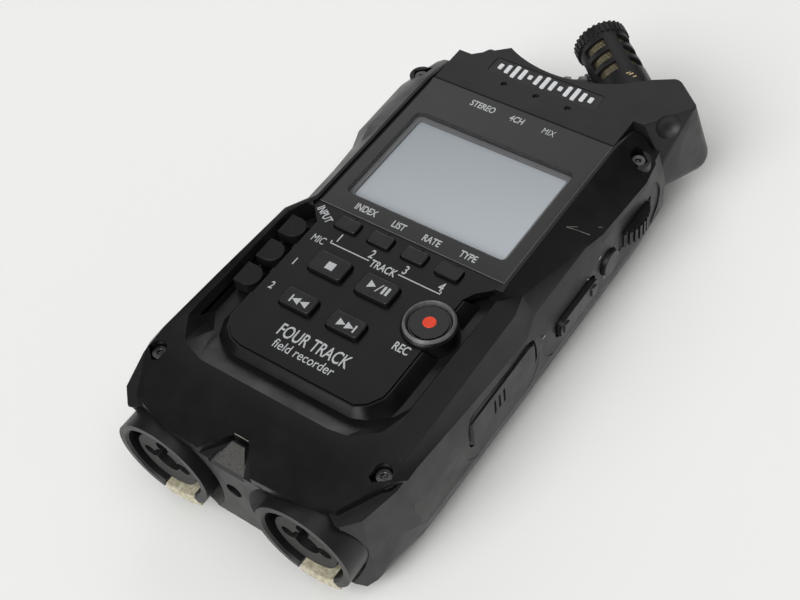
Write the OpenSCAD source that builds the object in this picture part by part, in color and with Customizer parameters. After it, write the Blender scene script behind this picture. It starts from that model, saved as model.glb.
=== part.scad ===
// Handheld four-track sound recorder with a crossed pair of turning microphones.
// It lies on its back. X is its width, +Y points to the microphones and +Z points
// out of the front panel. The origin is on the back, under the middle of the object.

/* [Case] */
// Thickness of the moulded walls
wall = 1.8; // [1.5:0.1:2.0]
// Drop of the recessed floor around the keys below the panel
moat_depth = 3.5; // [2.8:0.1:3.6]
// Gap all round each loose key
key_gap = 0.25; // [0.15:0.05:0.3]
// Depth of the recesses that hold the side controls
side_recess = 0.8; // [0.5:0.1:1.0]

/* [Display] */
// Width of the visible window
lcd_w = 43.2; // [40:0.2:44]
// Length of the visible window
lcd_l = 29.8; // [27:0.2:30]
// Thickness of the display window
glass_t = 1.5; // [1.2:0.1:1.6]

/* [Keys] */
// Height of the transport keys above the panel
key_rise = 1.3; // [0.8:0.1:1.5]
// Height of the track keys above the panel
track_rise = 0.9; // [0.6:0.1:1.1]
// Radius of the ring around the record key
rec_ring_r = 6.3; // [6.1:0.1:6.4]

/* [Microphones] */
// Angle between each microphone's turning axis and the recorder's length
mic_axis_angle = 52.5; // [50:0.5:54]
// Bend of the barrel away from its turning axis
mic_bend = 7.5; // [5:0.5:7.5]
// Radius of the toothed rim
mic_rim_r = 7.0; // [6.8:0.1:7.0]
// Radius of the barrel
mic_r = 6.4; // [6.0:0.1:6.5]
// Number of teeth round the rim
mic_teeth = 30; // [20:2:36]

/* [Input sockets] */
// Distance of each socket from the middle plane
socket_x = 18.9; // [18.6:0.1:19]
// Radius of the socket's collar
socket_r = 12.0; // [11.8:0.1:12.1]
// Radius of the plug shell's space inside the collar
socket_bore_r = 9.9; // [9.7:0.1:10.2]
// Radius of the contact block
insert_r = 7.8; // [7.5:0.1:7.9]
// Radius of the quarter-inch plug hole
jack_r = 3.25; // [3.2:0.05:3.3]

/* [Side controls] */
// Radius of the dial
dial_r = 10.0; // [9:0.5:10]
// Number of teeth on the dial
dial_teeth = 40; // [24:2:48]

/* [Hidden] */
$fn = 48;
eps = 0.02;

soft_black = "#1d1d1e";
satin_grey = "#2e2e30";
gloss_black = "#101011";

front_y = 78.6;
face_z = 35.2;
mid_z = 18.5;
floor_z = face_z - moat_depth;
floor_t = 1.8;
frame_end_y = 46;
inner_end_y = 44.2;
inner_start_y = -66;

// ---- outlines -----------------------------------------------------------------------

function arc(c, r, a0, a1, n = 6) =
    [for (i = [0:n]) c + r * [cos(a0 + (a1 - a0) * i / n), sin(a0 + (a1 - a0) * i / n)]];

function round_rect(w, l, r, n = 5) = concat(
    arc([w / 2 - r, l / 2 - r], r, 0, 90, n), arc([r - w / 2, l / 2 - r], r, 90, 180, n),
    arc([r - w / 2, r - l / 2], r, 180, 270, n), arc([w / 2 - r, r - l / 2], r, 270, 360, n));

function mirrored(half) = concat(half, [for (i = [len(half) - 1:-1:0]) [-half[i][0], half[i][1]]]);

// Outline with square teeth: outer radius, tooth depth, number of teeth, share of each pitch that is tooth
function toothed_ring(r, depth, n, share) = [for (i = [0:n - 1], p = [[0, -1], [1, -1], [1, 1], [0, 1]])
    let (a = (i + p[1] * share / 2) * 360 / n, q = r - depth + depth * p[0]) [q * cos(a), q * sin(a)]];

module plate(w, l, r, t) linear_extrude(t) polygon(round_rect(w, l, r));

// A prism that stands on the side wall: its outline lies in Y and Z, its depth runs along X
module side_prism(depth) rotate([90, 0, 90]) linear_extrude(depth) children();

// ---- body sections ------------------------------------------------------------------
// Each row: y, then x and z of the crest, shoulder, cover edge, side wall, parting line
// and lower side, and the half width of the flat back.
BODY = [
    [-78, 26.6, 33.0, 31.6, 32.6, 33.8, 31.2, 34.2, 26.0, 33.8, 20.4, 31.0, 8.0, 25.0],
    [-64, 26.6, 35.1, 32.0, 34.8, 34.0, 32.6, 34.4, 25.0, 34.0, 18.0, 32.0, 7.0, 26.0],
    [-57, 26.6, 35.6, 32.2, 35.4, 34.0, 33.0, 34.5, 22.0, 34.1, 11.4, 32.4, 5.4, 26.5],
    [-38, 26.6, 36.0, 31.8, 35.0, 34.0, 30.4, 34.5, 21.0, 34.1, 11.0, 32.4, 5.0, 27.0],
    [-16, 26.6, 36.0, 31.2, 34.4, 33.8, 27.6, 34.5, 20.0, 34.1, 11.0, 32.4, 5.0, 27.0],
    [-10, 26.0, 35.9, 29.2, 33.2, 31.9, 28.2, 33.9, 20.0, 33.9, 11.0, 32.4, 5.0, 27.0],
    [11, 26.0, 35.9, 29.2, 33.2, 32.4, 29.4, 34.0, 20.0, 33.9, 11.0, 32.4, 5.0, 27.0],
    [16, 26.0, 36.0, 30.4, 33.6, 34.0, 30.0, 34.6, 20.0, 34.1, 11.0, 32.4, 5.0, 27.0],
    [35, 26.0, 35.9, 30.6, 33.2, 34.6, 29.4, 34.8, 20.0, 34.1, 11.0, 32.4, 5.0, 27.0],
    [46, 26.0, 33.6, 29.6, 31.6, 32.6, 28.6, 33.9, 20.0, 33.7, 11.0, 31.8, 5.0, 27.0]];

function cover_half(s) = [[s[1], s[2]], [s[3], s[4]], [s[5], s[6]]];
function cover_inner(s) = [[s[1] - wall, s[2] - wall], [s[3] - wall, s[4] - wall], [s[5] - wall, s[6] - 1]];
function frame_half(s) = [[s[5] - 0.5, s[6]], [s[7], s[8]], [s[9], s[10]]];
function frame_inner(s) = [[s[5] - wall - 0.5, s[6] + 1], [s[7] - wall, s[8]], [s[9] - wall, s[10] - 1]];
function rear_half(s) = [[s[9], s[10]], [s[11], s[12]], [s[13], 0]];
function rear_inner(s) = [[s[9] - wall, s[10] + 1], [s[11] - wall, s[12] + 0.6], [s[13] - wall, wall]];

// Closed solid through sections: each has its y and one ring of [x, z] points
module loft(ys, rings) {
    n = len(rings[0]);
    m = len(ys);
    points = [for (i = [0:m - 1], p = rings[i]) [p[0], ys[i], p[1]]];
    function at(i, j) = i * n + j % n;
    sides = [for (i = [0:m - 2], j = [0:n - 1], t = [0, 1])
        t == 0 ? [at(i, j), at(i + 1, j + 1), at(i, j + 1)]
               : [at(i, j), at(i + 1, j), at(i + 1, j + 1)]];
    first = [for (j = [0:n - 1]) at(0, j)];
    last = [for (j = [n - 1:-1:0]) at(m - 1, j)];
    polyhedron(points, concat([first], sides, [last]));
}

BODY_Y = [for (s = BODY) s[0]];
module cover_loft() loft(BODY_Y, [for (s = BODY) mirrored(cover_half(s))]);
module cover_hollow() loft(BODY_Y, [for (s = BODY) mirrored(cover_inner(s))]);
module frame_loft() loft(BODY_Y, [for (s = BODY) mirrored(frame_half(s))]);
module frame_hollow() loft(BODY_Y, [for (s = BODY) mirrored(frame_inner(s))]);
module rear_loft() loft(BODY_Y, [for (s = BODY) mirrored(rear_half(s))]);
module rear_hollow() loft(BODY_Y, [for (s = BODY) mirrored(rear_inner(s))]);

module tall(z0 = -1, z1 = 40) translate([0, 0, z0]) linear_extrude(z1 - z0) children();

// Plan outline of the frame and the rear case, and of the space inside them
module case_plan() polygon(mirrored([[20, -76.5], [28, -75.3], [31.2, -72], [34.3, -60.4],
                                     [37, -58], [37, frame_end_y]]));
module hollow_plan() polygon(mirrored([[27.4, inner_start_y], [32, -58], [37, -56], [37, inner_end_y]]));

// ---- front cover --------------------------------------------------------------------

lip_y = -76.5;
guard_seam_y = 36.6;

// The lip at the bottom end has a notch in its middle; the top end is cut back between two horns
module cover_plan() polygon(mirrored([[2.0, -70.4], [7.0, lip_y], [17.0, -76.0], [26.2, -73.6],
    [33.9, -60.4], [37, -58], [37, 38], [31.6, 43.6], [28.0, 45.2], [25.6, 44.0],
    [25.2, guard_seam_y]]));

// Recess round the keys: its floor, and its wider outline at the surface
MOAT_FLOOR = [[-25.0, -13.2], [-27.5, -17.0], [-27.5, -46.5], [-24.6, -50.6], [-20.0, -51.7],
              [15.5, -51.7], [18.6, -51.2], [22.6, -49.0], [24.2, -45.5], [24.2, -17.0], [24.4, -13.2]];
MOAT_TOP = [[-27.2, -13.2], [-29.8, -17.0], [-29.8, -53.0], [-25.5, -59.5], [-19.0, -61.8],
            [14.0, -61.8], [18.5, -61.0], [24.6, -56.0], [26.6, -49.5], [26.6, -17.0], [26.6, -13.2]];
module moat() hull() {
    translate([0, 0, floor_z]) linear_extrude(eps) polygon(MOAT_FLOOR);
    translate([0, 0, 36.2]) linear_extrude(eps) polygon(MOAT_TOP);
}

// The panel widens at the top and has cut corners; the record ring laps over its right edge
PANEL = [[-25.1, -10.95], [-25.6, -12.0], [-21.5, -16.2], [-21.5, -46.8], [-20.2, -49.6],
         [-17.8, -51.6], [-14.8, -52.4], [15.2, -52.4], [17.6, -50.8], [19.4, -47.8], [19.6, -45.5],
         [19.6, -18.6], [21.0, -15.9], [24.4, -12.8], [25.1, -11.6], [25.1, -10.95]];

// Sloping skirt that carries the edge of the panel, cut away round the input keys and the record ring
SKIRT = [[-21.5, -19.0], [-21.5, -46.8], [-20.2, -49.6], [-17.8, -51.6], [-14.8, -52.4], [15.2, -52.4],
         [17.6, -50.8], [19.4, -47.8], [19.6, -45.5], [19.6, -19.0]];
module skirt() difference() {
    hull() {
        translate([0, 0, floor_z - 1]) linear_extrude(eps) offset(delta = 3.6) polygon(SKIRT);
        translate([0, 0, face_z - 0.4]) linear_extrude(eps) offset(delta = 0.5) polygon(SKIRT);
    }
    for (y = input_y) translate([input_x, y, floor_z - 0.5]) plate(input_size[0] + 1.4, input_size[1] + 0.8, 1.0, 9);
    translate([REC[0], REC[1], floor_z - 2]) cylinder(h = 9, r = rec_ring_r + 0.35);
}

front_screw_at = [[30.4, 38.4, 32.6], [-30.4, 38.4, 32.6], [29.7, -62.2, 34.4], [-29.7, -62.2, 34.4]];

module screw_pocket(p) {
    s = sign(p[0]);
    e = sign(p[1]);
    translate([p[0], p[1], p[2] - 2.4]) cylinder(h = 10, r = 1.95);
    translate([p[0], p[1], p[2] - 2.4]) linear_extrude(10)
        polygon([[-s * 1.9, -e * 0.6], [-s * 1.9, e * 2.4], [-s * 0.6, e * 3.0], [s * 2.4, e * 0.4],
                 [s * 1.6, -e * 1.0]]);
}

REC = [17.5, -27.9];
KEYS = [[-10.5, -25.8, 9.2, 5.6], [2.4, -25.9, 9.2, 5.6], [-10.5, -37.1, 8.6, 4.6], [2.3, -37.1, 8.6, 4.6]];
track_x = [-14.3, -5.2, 4.0, 13.1];
track_y = -13.9;
track_size = [6.0, 3.4];
input_y = [-20.4, -28.5, -36.5];
input_x = -24.6;
input_size = [6.4, 5.8];

// Openings that the keys pass through, in the panel and in the cover's floor
module key_holes(gap) {
    for (k = KEYS) translate([k[0], k[1], 20]) plate(k[2] + 2 * gap, k[3] + 2 * gap, 0.9 + gap, 20);
    for (x = track_x) translate([x, track_y, 20])
        plate(track_size[0] + 2 * gap, track_size[1] + 2 * gap, 0.7 + gap, 20);
    translate([REC[0], REC[1], 20]) cylinder(h = 20, r = 4.9);
}

module front_cover() color(soft_black) difference() {
    union() {
        difference() {
            intersection() { cover_loft(); tall() cover_plan(); }
            intersection() { cover_hollow(); tall() hollow_plan(); }
        }
        // ledge under the window, floor of the recess round the keys, and screw posts
        intersection() {
            union() {
                translate([-28.2, -58.6, floor_z - floor_t]) cube([56.4, 46.2, face_z - 0.6 - floor_z + floor_t]);
                translate([-27, -13, 32.0]) cube([54, guard_seam_y + 13, 3]);
                for (p = front_screw_at) translate([p[0], p[1], p[2] - 4.0]) cylinder(h = 3.5, r = 3.0);
            }
            union() { cover_loft(); translate([-29.5, -60, 20]) cube([59, 96, 14]);
                      for (p = front_screw_at) translate([p[0], p[1], 20]) cylinder(h = 12, r = 3.0); }
        }
    }
    // seat of the display window and the hole behind it
    translate([-25.25, -10.95, face_z - glass_t - 0.1]) cube([50.5, guard_seam_y + 11.5, 5]);
    translate([0, 9.7, 20]) plate(lcd_w + 4.4, lcd_l + 5.4, 0.6, 20);
    // recess round the keys, with a wide sloping edge
    difference() {
        moat();
        skirt();
    }
    translate([0, 0, face_z - 1.8]) linear_extrude(5) offset(delta = 0.12) polygon(PANEL);
    intersection() {
        translate([0, 0, floor_z]) linear_extrude(6) offset(delta = 0.12) polygon(PANEL);
        translate([-40, -60, 0]) cube([80, 42.8, 60]);
    }
    key_holes(key_gap + 0.1);
    for (y = input_y) translate([input_x, y, 20])
        plate(input_size[0] - 1.6, input_size[1] - 1.6, 1.0, 20);
    for (p = front_screw_at) {
        screw_pocket(p);
        translate([p[0], p[1], 10]) cylinder(h = 30, r = 1.15);
    }
    for (s = [-1, 1]) translate([s * socket_x, 0, socket_z]) rotate([90, 0, 0]) {
        translate([0, 0, 60]) cylinder(h = 30, r = socket_r + 0.3);
        translate([0, 0, 53]) cylinder(h = 10, r = socket_tube_r + 0.3);
    }
    // scooped flats on the rails beside the window
    for (s = [-1, 1]) translate([s * 36.6, 0.6, 38.2]) rotate([90, 0, 0]) translate([0, 0, -9.6])
        cylinder(h = 19.2, r = 7.2, $fn = 64);
}

// ---- middle frame -------------------------------------------------------------------

socket_z = 19.7;
socket_tube_r = 11;
socket_l = 25;
dial_at = [26.5, 31.5, 18.4];
menu_at = [18.9, 17.6];
rocker_at = [4.2, 17.0];
card_at = [-26.5, 20.6];

module socket_bores() for (s = [-1, 1]) translate([s * socket_x, 0, socket_z]) rotate([90, 0, 0]) {
    translate([0, 0, 69.9]) cylinder(h = 10, r = socket_r + 0.1);
    translate([0, 0, 50]) cylinder(h = 30, r = socket_tube_r + 0.1);
}

// The end face falls away round each collar, and towards the back
module socket_flare() for (s = [-1, 1]) translate([s * socket_x, 0, socket_z]) rotate([90, 0, 0])
    translate([0, 0, 72]) cylinder(h = 6, r1 = socket_r - 0.5, r2 = socket_r + 4.3);
module end_taper() rotate([90, 0, 90]) translate([0, 0, -40]) linear_extrude(80)
    polygon([[-90, 9.6], [lip_y, 9.6], [-69.3, -0.3], [-69.3, -5], [-90, -5]]);

// Long round-ended recess on one side, with its outline in Y and Z
module side_pocket(s, y0, y1, z0, z1, depth) {
    x0 = 34.55 - depth;
    r = (z1 - z0) / 2 - 0.01;
    translate([s > 0 ? x0 : -x0 - 5, (y0 + y1) / 2, (z0 + z1) / 2])
        side_prism(5) polygon(round_rect(y1 - y0, z1 - z0, r, 10));
}

// Controls on the left side: y, z, hole width, hole height
volume_at = [24, 17.4];
phone_at = [38.6, 17.4];
usb_at = [-4, 17];
power_at = [-24, 17.4];
remote_at = [-42, 17.2];

module side_holes() {
    // right side: dial, menu key, level rocker, card door
    translate(dial_at) translate([0, 0, -2.6]) cylinder(h = 5.2, r = dial_r + 0.5);
    translate([30, menu_at[0], menu_at[1]]) rotate([0, 90, 0]) cylinder(h = 8, r = 3.6);
    translate([28, rocker_at[0], rocker_at[1]]) side_prism(10) polygon(round_rect(17.6, 6.2, 2.2));
    translate([33.1, card_at[0], card_at[1]]) side_prism(10) polygon(round_rect(27.2, 9.2, 2.4));
    translate([28, card_at[0], card_at[1] - 0.4]) side_prism(10) polygon(round_rect(25.2, 3.4, 0.4));
    // left side: volume rocker, headphone socket, data port, power switch, remote socket
    translate([-38, volume_at[0], volume_at[1]]) side_prism(10) polygon(round_rect(15.6, 5.6, 2.0));
    translate([-38, phone_at[0], phone_at[1]]) rotate([0, 90, 0]) cylinder(h = 10, r = 3.6);
    translate([-38, usb_at[0], usb_at[1]]) side_prism(10) polygon(round_rect(9.4, 5.0, 1.0));
    translate([-38, power_at[0], power_at[1]]) side_prism(10) polygon(round_rect(15, 4.4, 1.6));
    translate([-38, remote_at[0], remote_at[1]]) rotate([0, 90, 0]) cylinder(h = 10, r = 3.3);
}

// Everything above the ramp that leads from the lip's notch down to the end face
ramp_y = -71.6;
ramp_z = 33.4;
ramp_angle = 37.7;
module above_ramp() intersection() {
    translate([0, 0, 20]) linear_extrude(20)
        polygon([[-1.9, -71.3], [-4.7, -76.2], [-4.7, -80], [4.7, -80], [4.7, -76.2], [1.9, -71.3]]);
    translate([0, ramp_y, ramp_z]) rotate([ramp_angle, 0, 0]) translate([-10, -14, 0]) cube([20, 22, 14]);
}

module middle_frame() color(satin_grey) difference() {
    union() {
        difference() {
            intersection() { frame_loft(); tall() case_plan(); }
            intersection() { frame_hollow(); tall() hollow_plan(); }
        }
        // bosses that take the cover's screws
        for (p = front_screw_at) translate([p[0], p[1], p[2] - 9.5]) cylinder(h = 5.3, r = 3.0);
        // ramp in the lip's notch
        translate([0, 0, 27]) linear_extrude(7)
            polygon([[-4.3, -76.1], [4.3, -76.1], [1.7, -71.5], [-1.7, -71.5]]);
    }
    above_ramp();
    socket_flare();
    for (p = front_screw_at) {
        translate([p[0], p[1], p[2] - 10]) cylinder(h = 10, r = 1.15);
        translate([p[0], p[1], p[2] - 4.2]) cylinder(h = 8, r = 3.15);
    }
    socket_bores();
    side_pocket(1, -10.5, 43.2, 9.8, 26.8, side_recess);
    side_pocket(1, -42.6, -12.0, 10.6, 26.6, side_recess * 0.6);
    side_pocket(-1, -50, 44, 11.4, 23.4, side_recess);
    side_holes();
    // strap hole through the end and the slot under it
    translate([0, -70, 22.4]) rotate([90, 0, 0]) cylinder(h = 10, r = 2.0);
    translate([-3.4, -75.2, 16]) cube([6.8, 3.4, 6.4]);
}

// ---- rear case ----------------------------------------------------------------------

battery_bay = [30.6, 55.0];
battery_mid_y = -15.2;
battery_r = 7.1;
battery_z = wall + battery_r + 0.3;
rear_screw_at = [[23.4, -49], [-23.4, -49], [23.4, 6], [-23.4, 6], [23.4, 40]];
tripod_at = [0, 20.5];
speaker_at = [0, 34.5];
mic_in_at = [-22, 38];

module rear_case() color(satin_grey) difference() {
    union() {
        difference() {
            intersection() { rear_loft(); tall() case_plan(); }
            intersection() { rear_hollow(); tall() hollow_plan(); }
        }
        for (p = rear_screw_at) translate([p[0], p[1], 1]) cylinder(h = 14, r = 2.7);
        translate([tripod_at[0], tripod_at[1], 0.4]) cylinder(h = 8.6, r = 6.4);
    }
    socket_bores();
    // battery opening with a rebate for the sliding cover
    translate([-battery_bay[0] / 2, battery_mid_y - battery_bay[1] / 2, -1]) cube([battery_bay[0], battery_bay[1], 12]);
    translate([-17.6, battery_mid_y - 34.6, -1]) cube([35.2, 63.6, 2.2]);
    for (p = rear_screw_at) {
        translate([p[0], p[1], -1]) cylinder(h = 20, r = 1.2);
        translate([p[0], p[1], -1]) cylinder(h = 5, r = 2.1);
    }
    translate([tripod_at[0], tripod_at[1], -1]) cylinder(h = 9, r = 4.8);
    // sound slots of the loudspeaker
    for (i = [-3:3]) translate([speaker_at[0] + i * 2.1, speaker_at[1], -1])
        plate(1.1, 12 - abs(i) * 1.8, 0.5, 4);
    translate([mic_in_at[0], mic_in_at[1], -1]) cylinder(h = 6, r = 3.3);
    translate([-3.4, -75.2, -1]) cube([6.8, 3.4, 31]);
    socket_flare();
    end_taper();
    side_pocket(1, -42.6, -12.0, 10.6, 26.6, side_recess * 0.6);
    side_pocket(1, -10.5, 43.2, 9.8, 26.8, side_recess);
}

// The cover slides towards the sockets; it has thumb ridges near its upper end
module battery_cover() color(satin_grey) {
    translate([0, battery_mid_y - 0.4, 0]) difference() {
        plate(34.6, 58.4, 2.0, 1.1);
        for (i = [0:5]) translate([0, 14 + i * 1.6, -eps]) plate(12 - abs(i - 2.5) * 1.6, 0.8, 0.3, 0.4);
    }
}

module battery_tray() color("#262627") difference() {
    translate([-battery_bay[0] / 2 + 0.1, battery_mid_y - battery_bay[1] / 2 + 0.1, 1.25])
        cube([battery_bay[0] - 0.2, battery_bay[1] - 0.2, 16.5]);
    translate([-battery_bay[0] / 2 + 0.9, battery_mid_y - battery_bay[1] / 2 + 0.9, 0])
        cube([battery_bay[0] - 1.8, battery_bay[1] - 1.8, 16.8]);
}

module batteries() for (s = [-1, 1]) translate([s * 7.25, battery_mid_y, battery_z])
    rotate([s * 90, 0, 0]) {
        color("#c7a13a") translate([0, 0, -24.6]) cylinder(h = 34, r = battery_r);
        color("#202020") translate([0, 0, 9.4]) cylinder(h = 15.2, r = battery_r);
        color("silver") translate([0, 0, 24.6]) cylinder(h = 1.2, r = 2.6);
    }

module battery_contacts() color("silver") for (s = [-1, 1], e = [-1, 1])
    translate([s * 7.25, battery_mid_y + e * 26.35, battery_z - 4.5]) translate([-5, -0.15, 0]) cube([10, 0.3, 9]);

// ---- microphone guard ---------------------------------------------------------------

cradle_r = 30;
cradle_y = 81;
mic_l = 24;
dir_xy = [-sin(mic_axis_angle), cos(mic_axis_angle)];
head_y = front_y - mic_rim_r * sqrt(1 - pow(cos(mic_bend) * cos(mic_axis_angle), 2));
head_z = 29.0;
head_x = 0.5;
// Where the barrel bends: the point on the turning axis that stays still
pivot = [head_x - mic_l * cos(mic_bend) * dir_xy[0], head_y - mic_l * cos(mic_bend) * dir_xy[1],
         head_z - mic_l * sin(mic_bend)];

// Puts children with +Z along the turning axis, at the pivot; the rear microphone is turned
// half way round the recorder's length
module at_pivot() translate(pivot) rotate([0, 0, mic_axis_angle]) rotate([-90, 0, 0]) children();
module as_rear() translate([0, 0, mid_z]) rotate([0, 180, 0]) translate([0, 0, -mid_z]) children();

// Rounded lump through balls, each a centre and a radius
module horn(balls) hull() {
    for (b = balls) translate([b[0], b[1], b[2]]) sphere(r = b[3], $fn = 32);
    children();
}

// Flat front of the right horn, with a round tip
HORN_TOP = concat([[12, 44], [26.4, 43.8], [28.2, 46.6], [34.0, 55.2]], arc([33.4, 56.8], 1.9, -20, 45, 3),
                  arc([27.4, 61.6], 2.0, 50, 110, 3), [[22.6, 61.0], [12, 54]]);

module mic_seat() at_pivot() {
    translate([0, 0, -10.2]) cylinder(h = 30, r = 6.1);
    translate([0, 0, -2.0]) cylinder(h = 30, r = 7.6);
}

module mic_guard() color(satin_grey) difference() {
    union() {
        // tongue that closes the front between the cover's two tips
        translate([-24.9, 36.8, 29.4]) cube([49.8, 11, 6]);
        difference() {
            union() {
                // right horn reaches the front, left horn only fills the back
                horn([[31.3, 63, 13.2, 5], [29.3, 50.2, 18.2, 5], [27.6, 44, 20, 5], [22, 58, 10, 5.5],
                      [8, 52, 8, 6]])
                    translate([22.4, 53.4, face_z - 0.5]) {
                        linear_extrude(0.1) translate([-22.4, -53.4]) polygon(HORN_TOP);
                        translate([0, 0, 0.7]) linear_extrude(0.1) scale(0.95)
                            translate([-22.4, -53.4]) polygon(HORN_TOP);
                    }
                horn([[-32.0, 57, 18.4, 1.8], [-25.4, 61.6, 22.0, 1.8], [-30.2, 44, 18.4, 2.5],
                      [-30, 57, 8.4, 5], [-27.0, 62.4, 10.0, 5], [-27, 44, 8.2, 6], [-8, 52, 20, 5], [-8, 52, 8, 6]]);
                // middle of the guard, and its front face, cut back on the left
                horn([[-21, 50, 8.4, 6], [21, 50, 8.4, 6], [-20, 55, 9, 6], [20, 55, 9, 6], [-15, 48, 24, 6],
                      [21, 48, 24, 6]]);
                translate([0, 0, 20]) linear_extrude(15.3)
                    polygon([[-24.6, 45.0], [24.6, 45.0], [24.6, 56], [-4, 56], [-13.8, 54.4]]);
            }
            translate([-50, 16, -10]) cube([100, 30, 60]);
        }
    }
    // flat front, and the cradle between the horns
    translate([-50, 0, face_z]) cube([100, 100, 10]);
    translate([0, cradle_y, -5]) cylinder(h = 50, r = cradle_r, $fn = 120);
    mic_seat();
    as_rear() mic_seat();
    // seat of the badge and three light holes
    translate([0.15, 47.4, face_z - 0.5]) plate(30.2, 5.4, 0.8, 3);
    for (x = [-8.5, 0.5, 9.3]) translate([x, 42.4, face_z - 2.2]) cylinder(h = 5, r = 0.8);
    // scoop beyond the cover's tip
    translate([33.6, 49.0, 34.2]) sphere(r = 4.0, $fn = 40);
}

// Plain bar mark: five upright bars, like a level display
module badge() {
    color("#2a2a2c") translate([0.15, 47.4, face_z - 0.5]) plate(30.0, 5.2, 0.7, 0.35);
    color("#e8e8e8") for (i = [-6:6]) translate([0.15 + i * 2.1, 47.4, face_z - 0.15])
        plate(1.1, 1.2 + 3.0 * abs(cos(i * 47)), 0.3, 0.25);
}

// ---- microphones --------------------------------------------------------------------

slot_rows = [5.6, 9.6, 13.6];
// Ring segment cut in the barrel's wall
module mic_slots() for (z = slot_rows, a = [20:90:290])
    translate([0, 0, mic_l - z - 1.3]) rotate([0, 0, a]) rotate_extrude(angle = 58, $fn = 60)
        translate([mic_r - 1.6, 0]) square([3.2, 2.6]);

module mic_housing_shape() {
    // spigot in the guard's seat
    translate([0, 0, -9.8]) cylinder(h = 9.8, r = 6.04);
    rotate([mic_bend, 0, 0]) difference() {
        union() {
            translate([0, 0, -0.9]) cylinder(h = mic_l - 1.7, r = mic_r);
            translate([0, 0, mic_l - 2.8]) linear_extrude(2.8)
                polygon(toothed_ring(mic_rim_r, 0.4, mic_teeth, 0.5));
        }
        translate([0, 0, 4]) cylinder(h = mic_l, r = mic_r - 1.2);
        mic_slots();
    }
}
module mic_mesh_shape() rotate([mic_bend, 0, 0]) difference() {
    translate([0, 0, 4.1]) cylinder(h = mic_l - 4.3, r = mic_r - 1.25);
    translate([0, 0, 4.9]) cylinder(h = mic_l - 5.9, r = mic_r - 1.85);
}
module mic_capsule_shape() rotate([mic_bend, 0, 0]) translate([0, 0, 6]) cylinder(h = mic_l - 8.4, r = mic_r - 2.0);

module front_mic_housing() color("#2b2b2d") at_pivot() mic_housing_shape();
module front_mic_mesh() color("#8a8468") at_pivot() mic_mesh_shape();
module front_mic_capsule() color("#55544c") at_pivot() mic_capsule_shape();
module rear_mic_housing() color("#2b2b2d") as_rear() at_pivot() mic_housing_shape();
module rear_mic_mesh() color("#8a8468") as_rear() at_pivot() mic_mesh_shape();
module rear_mic_capsule() color("#55544c") as_rear() at_pivot() mic_capsule_shape();

// ---- display and keys ---------------------------------------------------------------

module display_window() color("#3a3b3e") translate([0, (guard_seam_y - 10.8) / 2, face_z - glass_t])
    plate(50.2, guard_seam_y + 10.6, 0.5, glass_t);

module lcd_module() {
    color("#b9c2c8") translate([0, 9.7, 30.4]) plate(lcd_w + 4.0, lcd_l + 5.0, 0.4, 2.4);
    color("#ccd5da") translate([0, 9.7, 32.8]) plate(lcd_w - 1.6, lcd_l - 1.6, 0.6, 0.3);
}

module key_panel() color(gloss_black) difference() {
    union() {
        translate([0, 0, face_z - 1.7]) linear_extrude(1.7) polygon(PANEL);
        intersection() {
            translate([0, 0, floor_z]) linear_extrude(2.5) polygon(PANEL);
            translate([-40, -60, 0]) cube([80, 42.6, 60]);
        }
    }
    key_holes(key_gap);
    translate([REC[0], REC[1], 20]) cylinder(h = 20, r = rec_ring_r + 0.1);
    for (x = [-13.7, -4.5, 4.6, 13.7]) translate([x, -11.45, face_z - 0.9]) cylinder(h = 2, r = 0.35, $fn = 24);
}

// A key: cap through the panel, and a flange under the cover's floor that keeps it in
module key(w, l, r, top) {
    translate([0, 0, 29.2]) plate(w, l, r, top - 29.2);
    translate([0, 0, 28.6]) plate(w + 1.6, l + 1.6, r + 0.5, 0.9);
}
module transport_key(i) color("#232325") translate([KEYS[i][0], KEYS[i][1], 0])
    key(KEYS[i][2], KEYS[i][3], 0.9, face_z + key_rise);
module track_key(i) color("#232325") translate([track_x[i], track_y, 0])
    key(track_size[0], track_size[1], 0.7, face_z + track_rise);

// Rubber input key: a tongue with one round end, on a stem through the floor
module input_key(i) color("#202021") translate([input_x, input_y[i], 0]) {
    translate([0, 0, floor_z + 0.7]) linear_extrude(face_z + 0.5 - floor_z - 0.7)
        polygon(concat(arc([input_size[0] / 2 - 3.4, 0], 2.9, -90, 90, 14),
                       [[0.4 - input_size[0] / 2, 2.9], [0.4 - input_size[0] / 2, -2.9]]));
    translate([0, 0, 28.8]) plate(input_size[0] - 2.2, input_size[1] - 2.2, 0.8, 5);
    translate([0, 0, 28.8]) plate(input_size[0], input_size[1], 1.2, 0.8);
}

module stop_button() transport_key(0);
module play_button() transport_key(1);
module rewind_button() transport_key(2);
module forward_button() transport_key(3);
module track_button_1() track_key(0);
module track_button_2() track_key(1);
module track_button_3() track_key(2);
module track_button_4() track_key(3);
module input_button_mic() input_key(0);
module input_button_1() input_key(1);
module input_button_2() input_key(2);

module rec_button() translate([REC[0], REC[1], 0]) {
    color(gloss_black) {
        translate([0, 0, 29.2]) cylinder(h = 6.8, r = 4.7);
        translate([0, 0, 36.0]) cylinder(h = 0.4, r = 4.3);
        translate([0, 0, 28.6]) cylinder(h = 0.9, r = 5.6);
    }
    color("#e0402a") translate([0, 0, 36.4]) cylinder(h = 0.1, r = 1.45);
}

// The ring stands on the floor of the recess and laps over the panel's edge
module rec_ring() color("#8e8f92") translate([REC[0], REC[1], 0]) difference() {
    union() {
        translate([0, 0, floor_z]) cylinder(h = 4.2, r = rec_ring_r);
        translate([0, 0, floor_z + 4.2]) cylinder(h = 37.0 - floor_z - 4.2, r1 = rec_ring_r, r2 = rec_ring_r - 0.9);
    }
    translate([0, 0, 20]) cylinder(h = 20, r = 4.9);
    translate([0, 0, 36.1]) cylinder(h = 2, r1 = 4.9, r2 = 5.6);
}

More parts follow.
